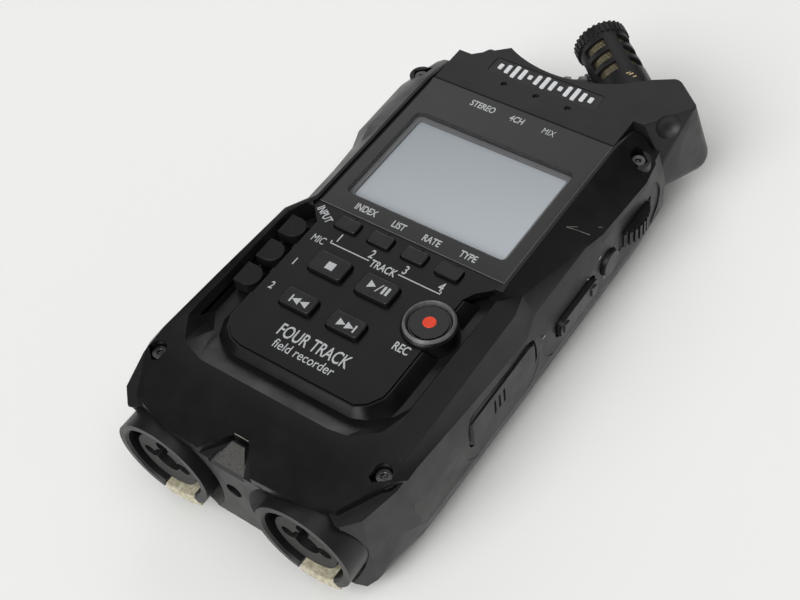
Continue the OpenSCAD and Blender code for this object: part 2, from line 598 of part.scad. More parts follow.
module status_lights() color("#4a1512") for (x = [-8.5, 0.5, 9.3])
    translate([x, 42.4, face_z - 2.2]) cylinder(h = 1.6, r = 0.78);
module track_lights() color("#8c2a20") for (x = [-13.7, -4.5, 4.6, 13.7])
    translate([x, -11.45, face_z - 0.9]) cylinder(h = 0.85, r = 0.33, $fn = 24);

// ---- inside -------------------------------------------------------------------------

module main_board() color("#1f4a2c") difference() {
    translate([0, -7, 25.4]) plate(56, 84, 2, 1.6);
    for (s = [-1, 1], y = [-44, 30]) translate([s * 25, y, 20]) cylinder(h = 10, r = 1.3);
}

module speaker() translate([speaker_at[0], speaker_at[1], wall]) {
    color("#303030") cylinder(h = 3.4, r = 7.4);
    color("silver") translate([0, 0, 3.4]) cylinder(h = 2.2, r = 5.0);
}

// ---- fasteners and fittings ---------------------------------------------------------

module socket_head_screw(z, l) difference() {
    union() {
        translate([0, 0, z - l]) cylinder(h = l, r = 1.05);
        translate([0, 0, z - 0.1]) cylinder(h = 1.5, r = 1.75);
    }
    translate([0, 0, z + 0.6]) cylinder(h = 2, r = 0.8, $fn = 6);
}
module front_screws() color("#3b3b3d") for (p = front_screw_at)
    translate([p[0], p[1], 0]) socket_head_screw(p[2] - 2.3, 5);
module rear_screws() color("#3b3b3d") for (p = rear_screw_at) translate([p[0], p[1], 0]) difference() {
    union() {
        translate([0, 0, 2.4]) cylinder(h = 1.6, r = 1.9);
        translate([0, 0, 3.9]) cylinder(h = 9, r = 1.1);
    }
    for (a = [0, 90]) rotate([0, 0, a]) translate([-1.1, -0.25, 2.2]) cube([2.2, 0.5, 0.9]);
}

// Quarter-inch camera thread; its hole is modelled at the thread's outer radius
module tripod_bush() color("silver") translate([tripod_at[0], tripod_at[1], 0]) difference() {
    union() { cylinder(h = 7.9, r = 4.75); }
    translate([0, 0, -1]) cylinder(h = 8.0, r = 3.175);
}

module strap_bar() color("silver") translate([-3.4, -73.5, 17.4]) rotate([0, 90, 0]) cylinder(h = 6.8, r = 0.8);

// ---- side controls ------------------------------------------------------------------

module jog_dial() color("#1a1a1b") translate(dial_at) {
    translate([0, 0, -2.2]) linear_extrude(4.4) polygon(toothed_ring(dial_r, 0.7, dial_teeth, 0.55));
    translate([0, 0, -4.0]) cylinder(h = 8, r = 1.5);
}

module menu_button() color("#242426") translate([31, menu_at[0], menu_at[1]]) {
    rotate([0, 90, 0]) cylinder(h = 3.9, r = 3.3);
    side_prism(0.9) polygon(round_rect(6.9, 8.8, 1));
}

module level_rocker() color("#242426") translate([0, rocker_at[0], rocker_at[1]]) {
    translate([31.2, 0, 0]) side_prism(3.8) polygon(round_rect(16.6, 5.2, 2.0));
    translate([34.9, 0, 0]) for (s = [-1, 1]) translate([0, s * 6.0, 0]) side_prism(0.5) polygon(round_rect(2.4, 3.0, 0.8));
    translate([31.0, 0, -3.4]) cylinder(h = 6.8, r = 1.0);
}

// The card door hinges at its end nearer the microphones
card_hinge = [33.6, card_at[0] + 12.6];
module card_cover() color(satin_grey) translate([0, card_at[0], card_at[1]]) difference() {
    union() {
        translate([33.25, -0.4, 0]) side_prism(1.15) polygon(round_rect(25.6, 8.6, 2.2));
        translate([card_hinge[0], card_hinge[1] - card_at[0], -3.0]) cylinder(h = 6.0, r = 0.4);
    }
    for (i = [-1:1]) translate([34.1, -2 + i * 1.8, 0]) side_prism(1) polygon(round_rect(0.8, 4.4 , 0.3));
    translate([35.0, -13.4, 0]) cylinder(h = 12, r = 1.4, center = true);
}

module memory_card() color("#20242c") translate([7.0, card_at[0] - 12, card_at[1] - 1.3]) cube([24.5, 24, 2.1]);
module card_socket() color("#9a9c9e") difference() {
    translate([6, card_at[0] - 13.5, card_at[1] - 2.1]) cube([24, 27, 3.7]);
    translate([6.9, card_at[0] - 12.1, card_at[1] - 1.4]) cube([30, 24.2, 2.3]);
}

module volume_rocker() color("#242426") translate([0, volume_at[0], volume_at[1]]) {
    translate([-35.3, 0, 0]) side_prism(3.8) polygon(round_rect(14.6, 4.6, 1.8));
    for (s = [-1, 1]) translate([-36.5, s * 5.0, 0]) side_prism(1.3) polygon(round_rect(2.2, 2.6, 0.8));
    translate([-31.0, 0, -3.1]) cylinder(h = 6.2, r = 1.0);
}
module power_switch() color("#242426") translate([0, power_at[0], power_at[1]]) {
    translate([-35.6, 0, 0]) side_prism(3.6) polygon(round_rect(7.0, 3.8, 1.0));
    translate([-32.2, 0, 0]) side_prism(0.6) polygon(round_rect(8.6, 6.4, 1.0));
}

// A 3.5 mm socket: collar outside, body inside, open bore
module mini_jack(r) difference() {
    union() {
        cylinder(h = 2.4, r = r);
        translate([-3.6, -3.2, -10]) cube([7.2, 6.4, 10.2]);
    }
    translate([0, 0, -8]) cylinder(h = 20, r = 1.8);
}
module phone_jack() color("#18181a") translate([-31.6, phone_at[0], phone_at[1]]) rotate([0, -90, 0]) mini_jack(3.5);
module remote_jack() color("#18181a") translate([-31.6, remote_at[0], remote_at[1]]) rotate([0, -90, 0]) difference() {
    union() { cylinder(h = 2.4, r = 3.2); translate([-3.6, -3.2, -8]) cube([7.2, 6.4, 8.6]); }
    translate([0, 0, -6]) cylinder(h = 20, r = 1.3);
}
module mic_input_jack() color("#18181a") translate([mic_in_at[0], mic_in_at[1], 3.0]) rotate([180, 0, 0]) mini_jack(3.2);
module usb_port() color("silver") translate([-33.6, usb_at[0], usb_at[1]]) difference() {
    side_prism(8) polygon(round_rect(8.4, 4.0, 0.8));
    translate([-1, 0, 0]) side_prism(7.5) polygon(round_rect(7.4, 3.0, 0.6));
    translate([-1, 0, 0]) side_prism(7.5) polygon(round_rect(3.0, 1.0, 0.2));
}

// ---- input sockets ------------------------------------------------------------------

module at_socket(s) translate([s * socket_x, -front_y, socket_z]) rotate([-90, 0, 0]) children();
tab_a0 = 53;
tab_a1 = 104;

// Collar, shell and floor; the lower edge of the collar is notched for the release tab
module socket_shell(s) color(satin_grey) at_socket(s) difference() {
    union() {
        cylinder(h = 8.6, r = socket_r);
        cylinder(h = socket_l, r = socket_tube_r);
    }
    translate([0, 0, -1]) cylinder(h = 22, r = socket_bore_r);
    translate([0, 0, -eps]) cylinder(h = 0.6, r1 = socket_bore_r + 0.6, r2 = socket_bore_r);
    translate([0, 0, -1]) rotate([0, 0, tab_a0 - 1.5]) rotate_extrude(angle = tab_a1 - tab_a0 + 3, $fn = 72)
        translate([socket_bore_r - 1, 0]) square([5, 7.5]);
}
module left_socket() socket_shell(-1);
module right_socket() socket_shell(1);

// Contact block: quarter-inch hole with three contact slots beside it
module insert_shape(s) color("#4a4a4b") at_socket(s) difference() {
    translate([0, 0, 1.4]) cylinder(h = 19.6, r = insert_r);
    translate([0, 0, 0]) cylinder(h = 19, r = jack_r);
    for (a = [0, 180, 270]) rotate([0, 0, a]) translate([4.7, 0, 0]) cylinder(h = 9, r = 1.2);
    for (a = [0, 180, 270]) rotate([0, 0, a]) translate([4.7, 0, 0]) cylinder(h = 4.2, r = 1.65);
    for (a = [0, 180, 270]) rotate([0, 0, a]) translate([2.6, -1.1, 0]) cube([2.2, 2.2, 4.2]);
}
module left_insert() insert_shape(-1);
module right_insert() insert_shape(1);
module socket_contacts() color("#b89b4a") for (s = [-1, 1]) at_socket(s)
    for (a = [0, 180, 270]) rotate([0, 0, a]) translate([4.7, 0, 5]) difference() {
        cylinder(h = 3.9, r = 1.15, $fn = 24);
        translate([0, 0, -1]) cylinder(h = 4, r = 0.7, $fn = 24);
    }

// Release tab in the collar's notch
module tab_shape(s) color("#d9cfae") at_socket(s) translate([0, 0, 0.2])
    rotate([0, 0, tab_a0]) rotate_extrude(angle = tab_a1 - tab_a0, $fn = 72)
        polygon([[socket_bore_r + 0.3, 0], [socket_r + 1.2, 0], [socket_r + 1.2, 2.4], [socket_r - 0.2, 2.4],
                 [socket_r - 0.2, 5.0], [socket_bore_r + 0.3, 5.0]]);
module left_release_tab() tab_shape(-1);
module right_release_tab() tab_shape(1);

front_cover();
middle_frame();
rear_case();
battery_cover();
battery_tray();
mic_guard();
badge();
display_window();
lcd_module();
key_panel();
main_board();
front_screws();
rear_screws();
track_button_1();
track_button_2();
track_button_3();
track_button_4();
input_button_mic();
input_button_1();
input_button_2();
stop_button();
play_button();
rewind_button();
forward_button();
rec_button();
rec_ring();
status_lights();
track_lights();
front_mic_housing();
front_mic_mesh();
front_mic_capsule();
rear_mic_housing();
rear_mic_mesh();
rear_mic_capsule();
jog_dial();
menu_button();
level_rocker();
card_cover();
card_socket();
memory_card();
volume_rocker();
power_switch();
phone_jack();
usb_port();
remote_jack();
left_socket();
right_socket();
left_insert();
right_insert();
left_release_tab();
right_release_tab();
socket_contacts();
strap_bar();
batteries();
battery_contacts();
tripod_bush();
speaker();
mic_input_jack();
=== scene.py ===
"""Looks of the handheld field recorder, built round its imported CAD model.

Everything is in metres in the CAD frame: X is the width, +Y points to the microphones and
+Z points out of the front panel. The recorder lies on its back on the floor at z = 0.
"""

import math

import bmesh
import bpy
from mathutils import Matrix, Vector


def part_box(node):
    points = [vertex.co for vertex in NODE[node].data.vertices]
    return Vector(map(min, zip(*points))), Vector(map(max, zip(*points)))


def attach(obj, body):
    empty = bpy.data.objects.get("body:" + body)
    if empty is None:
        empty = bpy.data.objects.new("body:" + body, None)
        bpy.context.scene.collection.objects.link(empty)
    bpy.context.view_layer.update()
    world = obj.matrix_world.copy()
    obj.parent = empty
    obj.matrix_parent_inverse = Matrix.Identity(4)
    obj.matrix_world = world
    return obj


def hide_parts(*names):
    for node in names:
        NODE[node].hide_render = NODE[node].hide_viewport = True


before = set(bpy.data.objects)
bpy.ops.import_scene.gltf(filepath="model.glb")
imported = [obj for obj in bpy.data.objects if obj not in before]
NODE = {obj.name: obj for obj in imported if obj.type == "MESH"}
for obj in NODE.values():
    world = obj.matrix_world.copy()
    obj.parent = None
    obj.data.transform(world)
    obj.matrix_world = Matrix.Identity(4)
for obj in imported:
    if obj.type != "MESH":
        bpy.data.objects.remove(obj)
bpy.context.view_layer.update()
MM = 0.001


# ---- shader helpers -----------------------------------------------------------------


class Shader:
    """A material with one Principled shader, and short ways to add nodes to it."""

    def __init__(self, name, colour, rough, **sockets):
        self.material = bpy.data.materials.new(name)
        self.material.use_nodes = True
        self.tree = self.material.node_tree
        self.tree.nodes.clear()
        self.output = self.tree.nodes.new("ShaderNodeOutputMaterial")
        self.bsdf = self.tree.nodes.new("ShaderNodeBsdfPrincipled")
        self.tree.links.new(self.bsdf.outputs[0], self.output.inputs[0])
        self.bsdf.inputs["Base Color"].default_value = (*colour, 1.0)
        self.bsdf.inputs["Roughness"].default_value = rough
        for socket, value in sockets.items():
            self.bsdf.inputs[socket.replace("_", " ")].default_value = value
        self.place = self.tree.nodes.new("ShaderNodeTexCoord").outputs["Object"]

    def node(self, kind, **settings):
        made = self.tree.nodes.new(kind)
        for key, value in settings.items():
            setattr(made, key, value)
        return made

    def link(self, source, target):
        self.tree.links.new(source, target)

    def stretched(self, scale):
        """The place, scaled differently along each axis, for brushed or drawn surfaces."""
        mapping = self.node("ShaderNodeMapping")
        mapping.inputs["Scale"].default_value = scale
        self.link(self.place, mapping.inputs["Vector"])
        return mapping.outputs[0]

    def noise(self, size_mm, detail=2.0, place=None):
        """Noise of 0..1 whose blots are about this large."""
        made = self.node("ShaderNodeTexNoise")
        made.inputs["Scale"].default_value = 1.0 / (size_mm * MM)
        made.inputs["Detail"].default_value = detail
        self.link(place or self.place, made.inputs["Vector"])
        return made.outputs["Fac"]

    def spread(self, source, low, high, from_low=0.3, from_high=0.7):
        """Maps a value to a range; the defaults suit a noise of 0..1."""
        made = self.node("ShaderNodeMapRange")
        made.inputs["From Min"].default_value = from_low
        made.inputs["From Max"].default_value = from_high
        made.inputs["To Min"].default_value = low
        made.inputs["To Max"].default_value = high
        self.link(source, made.inputs["Value"])
        return made.outputs[0]

    def mix(self, factor, first, second):
        """Mixes two colours; each is a colour or a socket."""
        made = self.node("ShaderNodeMix", data_type="RGBA")
        self.link(factor, made.inputs["Factor"])
        for socket, value in (("A", first), ("B", second)):
            target = [i for i in made.inputs if i.name == socket and i.type == "RGBA"][0]
            if isinstance(value, tuple):
                target.default_value = (*value, 1.0)
            else:
                self.link(value, target)
        return [o for o in made.outputs if o.type == "RGBA"][0]

    def specks(self, spacing_mm, size_mm, share):
        """1 inside small round specks scattered over the surface, 0 elsewhere."""
        cells = self.node("ShaderNodeTexVoronoi", feature="F1")
        cells.inputs["Scale"].default_value = 1.0 / (spacing_mm * MM)
        self.link(self.place, cells.inputs["Vector"])
        near = self.node("ShaderNodeMath", operation="LESS_THAN")
        self.link(cells.outputs["Distance"], near.inputs[0])
        near.inputs[1].default_value = size_mm / spacing_mm
        split = self.node("ShaderNodeSeparateColor")
        self.link(cells.outputs["Color"], split.inputs[0])
        chosen = self.node("ShaderNodeMath", operation="LESS_THAN")
        self.link(split.outputs[0], chosen.inputs[0])
        chosen.inputs[1].default_value = share
        both = self.node("ShaderNodeMath", operation="MULTIPLY")
        self.link(near.outputs[0], both.inputs[0])
        self.link(chosen.outputs[0], both.inputs[1])
        return both.outputs[0]

    def above(self, z_mm):
        """1 above a height in the CAD frame, 0 below it."""
        parts = self.node("ShaderNodeSeparateXYZ")
        self.link(self.place, parts.inputs[0])
        made = self.node("ShaderNodeMath", operation="GREATER_THAN")
        self.link(parts.outputs["Z"], made.inputs[0])
        made.inputs[1].default_value = z_mm * MM
        return made.outputs[0]

    def within(self, x_mm, y_mm, r_mm):
        """1 inside an upright cylinder, 0 outside it."""
        flat = self.node("ShaderNodeVectorMath", operation="MULTIPLY")
        self.link(self.place, flat.inputs[0])
        flat.inputs[1].default_value = (1.0, 1.0, 0.0)
        far = self.node("ShaderNodeVectorMath", operation="DISTANCE")
        self.link(flat.outputs[0], far.inputs[0])
        far.inputs[1].default_value = (x_mm * MM, y_mm * MM, 0.0)
        made = self.node("ShaderNodeMath", operation="LESS_THAN")
        self.link(far.outputs["Value"], made.inputs[0])
        made.inputs[1].default_value = r_mm * MM
        return made.outputs[0]

    def bump(self, height, distance_mm, after=None):
        """Bump of a depth, added to an earlier bump if one is given."""
        made = self.node("ShaderNodeBump")
        made.inputs["Distance"].default_value = distance_mm * MM
        self.link(height, made.inputs["Height"])
        if after is not None:
            self.link(after, made.inputs["Normal"])
        self.link(made.outputs[0], self.bsdf.inputs["Normal"])
        return made.outputs[0]

    def mottled(self, size_mm, first, second, detail=3.0):
        """A colour that drifts between two colours over a distance."""
        return self.mix(self.spread(self.noise(size_mm, detail), 0.0, 1.0), first, second)

    def colour(self, source):
        self.link(source, self.bsdf.inputs["Base Color"])

    def roughness(self, source):
        self.link(source, self.bsdf.inputs["Roughness"])


DUST = (0.07, 0.07, 0.068)


def moulded(name, colour, lighter, rough, grain_mm=0.22, depth_mm=0.012, blotch_mm=9.0, specks=0.0):
    """Moulded plastic: fine grain, slow drift of colour and gloss, and dust and pits if asked for."""
    s = Shader(name, colour, rough, Specular_IOR_Level=0.38)
    colours = s.mottled(blotch_mm, colour, lighter)
    if specks:
        colours = s.mix(s.specks(2.4, 0.11, specks), colours, DUST)
    s.colour(colours)
    s.roughness(s.spread(s.noise(blotch_mm * 0.6, 4.0), rough - 0.06, rough + 0.06))
    grain = s.bump(s.noise(grain_mm, 2.0), depth_mm)
    if specks:
        s.bump(s.specks(1.3, 0.20, specks * 3.0), 0.05, grain)
    return s.material


def metal(name, colour, rough, brushed=(1.0, 1.0, 1.0)):
    """Metal with a drawn or turned grain."""
    s = Shader(name, colour, rough, Metallic=1.0)
    lines = s.noise(0.15, 3.0, s.stretched(brushed))
    s.roughness(s.spread(lines, rough * 0.75, rough * 1.3))
    s.colour(s.mottled(3.0, tuple(c * 0.8 for c in colour), colour))
    s.bump(lines, 0.004)
    return s.material


def lacquer(name, colour, rough, smear=0.03, **sockets):
    """Polished plastic: almost flat, with faint smears in its gloss."""
    s = Shader(name, colour, rough, **sockets)
    s.colour(s.mottled(14.0, colour, tuple(c * 1.25 + 0.001 for c in colour)))
    s.roughness(s.spread(s.noise(6.0, 5.0), rough, rough + smear))
    s.bump(s.noise(1.2, 2.0), 0.001)
    return s.material


def printed(name, colour, rough=0.5):
    """Screen print: ink that is thinner in places, with slightly uneven gloss."""
    s = Shader(name, colour, rough)
    s.colour(s.mottled(0.35, tuple(c * 0.82 for c in colour), colour))
    s.roughness(s.spread(s.noise(0.8, 2.0), rough - 0.08, rough + 0.08))
    s.bump(s.noise(0.12, 2.0), 0.003)
    return s.material


# ---- materials ----------------------------------------------------------------------

MAT = {
    "cover": moulded("soft_black_cover", (0.0032, 0.0032, 0.0034), (0.0050, 0.0050, 0.0053),
                     0.35, 0.24, 0.006, specks=0.10),
    "case": moulded("satin_dark_case", (0.0080, 0.0080, 0.0082), (0.0105, 0.0105, 0.0108),
                    0.42, 0.26, 0.008),
    "guard": moulded("satin_dark_guard", (0.0125, 0.0128, 0.0130), (0.0155, 0.0158, 0.0160),
                     0.45, 0.3, 0.004),
    "collar": moulded("satin_collar", (0.0080, 0.0080, 0.0080), (0.0105, 0.0105, 0.0105),
                      0.40, 0.3, 0.004),
    "insert": moulded("socket_insert", (0.0070, 0.0070, 0.0066), (0.0110, 0.0110, 0.0104),
                      0.55, 0.4, 0.020, 1.2),
    "ramp": moulded("textured_ramp", (0.030, 0.029, 0.026), (0.060, 0.058, 0.053), 0.6, 0.35, 0.03, 0.5),
    # light strokes: wear on the lip, and a painted highlight on the right rail's step
    "worn": moulded("wear_and_edge_highlight", (0.16, 0.15, 0.13), (0.30, 0.29, 0.26), 0.5, 0.3, 0.01, 0.8),
    "inner": moulded("inner_plastic", (0.014, 0.014, 0.0145), (0.022, 0.022, 0.0225),
                     0.5, 0.4, 0.015, 1.2),
    "tab": moulded("cream_tab", (0.30, 0.27, 0.17), (0.66, 0.62, 0.48), 0.5, 0.45, 0.05, 0.9),
    "key": moulded("satin_black_key", (0.0080, 0.0081, 0.0084), (0.0110, 0.0111, 0.0115),
                   0.36, 0.16, 0.004, 5.0),
    "rubber": moulded("black_rubber", (0.0030, 0.0030, 0.0032), (0.0045, 0.0045, 0.0047),
                      0.55, 0.3, 0.010, 4.0),
    "panel": lacquer("black_panel", (0.0040, 0.0042, 0.0046), 0.28, 0.05, Specular_IOR_Level=0.28),
    "window": lacquer("window_border", (0.0075, 0.0078, 0.0085), 0.12, 0.03, Specular_IOR_Level=0.45),
    "bezel": moulded("display_bezel", (0.105, 0.108, 0.113), (0.125, 0.128, 0.133), 0.5, 0.4, 0.004),
    "print": printed("light_print", (0.50, 0.51, 0.52)),
    "groove": moulded("dark_groove", (0.0008, 0.0008, 0.0008), (0.0012, 0.0012, 0.0012),
                      0.8, 0.3, 0.002),
    # painted highlight: light grey ink for thin strokes along the window's edges
    "mark": printed("faint_mark", (0.20, 0.20, 0.20)),
    "mic": moulded("black_mic_body", (0.009, 0.009, 0.0092), (0.012, 0.012, 0.0122),
                   0.38, 0.2, 0.004, 4.0),
    "gold": printed("gold_print", (0.55, 0.42, 0.22), 0.4),
    "screw": metal("blackened_screw", (0.15, 0.15, 0.155), 0.34),
    "steel": metal("plated_steel", (0.62, 0.62, 0.63), 0.28, (1.0, 6.0, 1.0)),
    "brass": metal("plated_brass", (0.66, 0.50, 0.22), 0.30),
    "capsule": metal("capsule_metal", (0.23, 0.22, 0.19), 0.42),
    "battery": lacquer("battery_sleeve", (0.30, 0.22, 0.06), 0.30, 0.05),
    "board": lacquer("solder_mask", (0.012, 0.09, 0.03), 0.35, 0.05),
    "card": moulded("card_plastic", (0.02, 0.024, 0.04), (0.03, 0.034, 0.05), 0.45),
    "speaker": moulded("speaker_paper", (0.03, 0.03, 0.03), (0.05, 0.05, 0.05), 0.8, 0.4, 0.04, 1.0),
    "lamp": lacquer("unlit_lamp", (0.010, 0.0045, 0.0042), 0.25, 0.03),
}


def gauze_material():
    """Fine woven gauze: two crossed sets of wires, seen as small bumps and dark gaps."""
    wire_mm = 0.34
    s = Shader("woven_gauze", (0.24, 0.21, 0.13), 0.42, Metallic=0.75)
    weave = s.node("ShaderNodeTexVoronoi", feature="F1", distance="CHEBYCHEV")
    weave.inputs["Scale"].default_value = 1.0 / (wire_mm * MM)
    weave.inputs["Randomness"].default_value = 0.0
    s.link(s.place, weave.inputs["Vector"])
    gap = s.spread(weave.outputs["Distance"], 0.0, 1.0, 0.30, 0.50)
    s.colour(s.mix(gap, (0.015, 0.013, 0.009), (0.30, 0.265, 0.165)))
    s.roughness(s.spread(s.noise(1.5, 3.0), 0.34, 0.5))
    s.bump(gap, 0.05)
    return s.material


def display_material():
    """Unlit display: pale blue-grey, with a painted shadow of the bezel that makes it darker towards its
    upper left corner.
    """
    painted_shadow_axis = (9.3, -20.1, 0.0)        # direction of the painted shadow, from the upper left to the lower right, 45 mm long
    painted_shadow_start, painted_shadow_end = -0.695, 0.305
    s = Shader("unlit_display", (0.27, 0.295, 0.32), 0.35, Specular_IOR_Level=0.4)
    along = s.node("ShaderNodeVectorMath", operation="DOT_PRODUCT")
    s.link(s.place, along.inputs[0])
    along.inputs[1].default_value = painted_shadow_axis
    share = s.spread(along.outputs["Value"], 0.0, 1.0, painted_shadow_start, painted_shadow_end)
    # painted shadow: the colour darkens towards the upper left corner, where the bezel's shade falls
    s.colour(s.mix(share, (0.285, 0.310, 0.335), (0.455, 0.492, 0.530)))
    s.roughness(s.spread(s.noise(7.0, 3.0), 0.30, 0.36))
    return s.material


def pane_material():
    """Clear pane: it reflects on its outside, and lets everything behind it through."""
    s = Shader("clear_pane", (0.9, 0.9, 0.9), 0.05, Metallic=1.0)
    fresnel = s.node("ShaderNodeFresnel")
    fresnel.inputs["IOR"].default_value = 1.3
    clear = s.node("ShaderNodeBsdfTransparent")
    outside, either = s.node("ShaderNodeMixShader"), s.node("ShaderNodeMixShader")
    s.link(fresnel.outputs[0], outside.inputs[0])
    s.link(clear.outputs[0], outside.inputs[1])
    s.link(s.bsdf.outputs[0], outside.inputs[2])
    s.link(s.node("ShaderNodeNewGeometry").outputs["Backfacing"], either.inputs[0])
    s.link(outside.outputs[0], either.inputs[1])
    s.link(clear.outputs[0], either.inputs[2])
    s.link(either.outputs[0], s.output.inputs[0])
    return s.material


BADGE_PLATE_Z = 35.08           # above this height the badge is printed
RECORD_KEY = (17.5, -27.9)      # centre of the record key
RECORD_DOT_R = 1.5
RECORD_RING_GREY_R = 5.85


def badge_material():
    """Dark plate whose raised bars are printed light."""
    plate = (0.010, 0.010, 0.0105)
    s = Shader("badge_plate", plate, 0.4)
    raised = s.above(BADGE_PLATE_Z)
    worn = s.mottled(0.5, (0.60, 0.61, 0.63), (0.72, 0.73, 0.75))
    s.colour(s.mix(raised, plate, worn))
    s.roughness(s.spread(s.noise(2.0, 3.0), 0.34, 0.46))
    s.bump(s.noise(0.12, 2.0), 0.002)
    return s.material


def record_cap_material():
    """Glossy black cap with a matt red dot in its middle."""
    black = (0.004, 0.004, 0.0044)
    s = Shader("record_cap", black, 0.08)
    dot = s.within(*RECORD_KEY, RECORD_DOT_R)
    s.colour(s.mix(dot, black, s.mottled(0.4, (0.68, 0.042, 0.014), (0.78, 0.055, 0.02))))
    s.roughness(s.spread(dot, 0.09, 0.45, 0.0, 1.0))
    s.bump(s.noise(0.8, 2.0), 0.001)
    return s.material


def record_ring_material():
    """Grey bright inner edge, black outside."""
    s = Shader("record_ring", (0.12, 0.12, 0.125), 0.3)
    inner = s.within(*RECORD_KEY, RECORD_RING_GREY_R)
    grey = s.mottled(1.4, (0.10, 0.10, 0.104), (0.135, 0.135, 0.14))
    s.colour(s.mix(inner, (0.006, 0.006, 0.0062), grey))
    s.roughness(s.spread(s.noise(1.0, 3.0), 0.26, 0.36))
    s.bump(s.noise(0.3, 2.0), 0.002)
    return s.material


MAT.update({
    "gauze": gauze_material(), "display": display_material(), "pane": pane_material(),
    "badge": badge_material(), "cap": record_cap_material(), "ring": record_ring_material(),
})

# ---- mesh helpers -------------------------------------------------------------------


def piece(name, mesh_or_bm, material, body="case"):
    """Makes an object from a mesh or bmesh, with its material, riding on a body."""
    mesh = mesh_or_bm
    if isinstance(mesh_or_bm, bmesh.types.BMesh):
        mesh = bpy.data.meshes.new(name)
        bmesh.ops.recalc_face_normals(mesh_or_bm, faces=mesh_or_bm.faces)
        mesh_or_bm.to_mesh(mesh)
        mesh_or_bm.free()
    made = bpy.data.objects.new(name, mesh)
    bpy.context.scene.collection.objects.link(made)
    mesh.materials.append(MAT[material])
    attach(made, body)
    return made


WELD_M = 0.000002               # CAD meshes repeat the points of neighbouring faces


def bevel(obj, width_mm, segments=2, angle=30.0, carried=False):
    """Rounds the sharp edges of an object; a carried-over CAD mesh is welded and cleaned first."""
    if carried:
        obj.modifiers.new("weld", "WELD").merge_threshold = WELD_M
        planar = obj.modifiers.new("planar", "DECIMATE")
        planar.decimate_type = "DISSOLVE"
        planar.angle_limit = math.radians(1.0)
    rounded = obj.modifiers.new("bevel", "BEVEL")
    rounded.width = width_mm * MM
    rounded.segments = segments
    rounded.limit_method = "ANGLE"
    rounded.angle_limit = math.radians(angle)
    rounded.miter_outer = "MITER_ARC"
    for polygon in obj.data.polygons:
        polygon.use_smooth = True
    flat = obj.modifiers.new("normals", "WEIGHTED_NORMAL")
    flat.mode = "FACE_AREA"
    flat.weight = 90
    flat.keep_sharp = False


def rounded_box_outline(x, y, w, l, r, steps=6):
    """Outline of a rectangle with round corners, as points in order."""
    points = []
    for cx, cy, a in ((x + w / 2 - r, y + l / 2 - r, 0), (x - w / 2 + r, y + l / 2 - r, 90),
                      (x - w / 2 + r, y - l / 2 + r, 180), (x + w / 2 - r, y - l / 2 + r, 270)):
        for i in range(steps + 1):
            t = math.radians(a + 90.0 * i / steps)
            points.append((cx + r * math.cos(t), cy + r * math.sin(t)))
    return points


def prism(outline, z0, z1):
    """A bmesh prism from an outline in X and Y, millimetres."""
    bm = bmesh.new()
    low = [bm.verts.new((x * MM, y * MM, z0 * MM)) for x, y in outline]
    high = [bm.verts.new((x * MM, y * MM, z1 * MM)) for x, y in outline]
    bm.faces.new(list(reversed(low)))
    bm.faces.new(high)
    for i in range(len(outline)):
        j = (i + 1) % len(outline)
        bm.faces.new((low[i], low[j], high[j], high[i]))
    return bm


def frame_prism(outer, inner, z0, z1):
    """A prism with a hole: both outlines need the same number of points."""
    bm = bmesh.new()
    rings = []
    for outline, z in ((outer, z0), (outer, z1), (inner, z1), (inner, z0)):
        rings.append([bm.verts.new((x * MM, y * MM, z * MM)) for x, y in outline])
    for a, b in ((0, 1), (1, 2), (2, 3), (3, 0)):
        for i in range(len(outer)):
            j = (i + 1) % len(outer)
            bm.faces.new((rings[a][i], rings[a][j], rings[b][j], rings[b][i]))
    return bm


def text_mesh(words, size_mm, at, turn=0.0, width=1.0, thick=0.0):
    """Mesh of a word lying on the panel, centred at a point."""
    curve = bpy.data.curves.new("words", "FONT")
    curve.body = words
    curve.size = size_mm * MM
    curve.align_x = "CENTER"
    curve.align_y = "CENTER"
    curve.offset = thick * MM
    curve.resolution_u = 6
    holder = bpy.data.objects.new("words", curve)
    bpy.context.scene.collection.objects.link(holder)
    bpy.context.view_layer.update()
    solved = holder.evaluated_get(bpy.context.evaluated_depsgraph_get())
    mesh = bpy.data.meshes.new_from_object(solved)
    bpy.data.objects.remove(holder)
    bpy.data.curves.remove(curve)
    mesh.transform(Matrix.Translation(Vector(at) * MM) @ Matrix.Rotation(math.radians(turn), 4, "Z")
                   @ Matrix.Diagonal((width, 1.0, 1.0, 1.0)))
    return mesh


def join(name, meshes, material, body="case"):
    """One piece from several meshes."""
    bm = bmesh.new()
    for mesh in meshes:
        if isinstance(mesh, bmesh.types.BMesh):
            held = bpy.data.meshes.new("part")
            mesh.to_mesh(held)
            mesh.free()
            mesh = held
        bm.from_mesh(mesh)
        bpy.data.meshes.remove(mesh)
    return piece(name, bm, material, body)


# ---- carried-over CAD nodes ---------------------------------------------------------

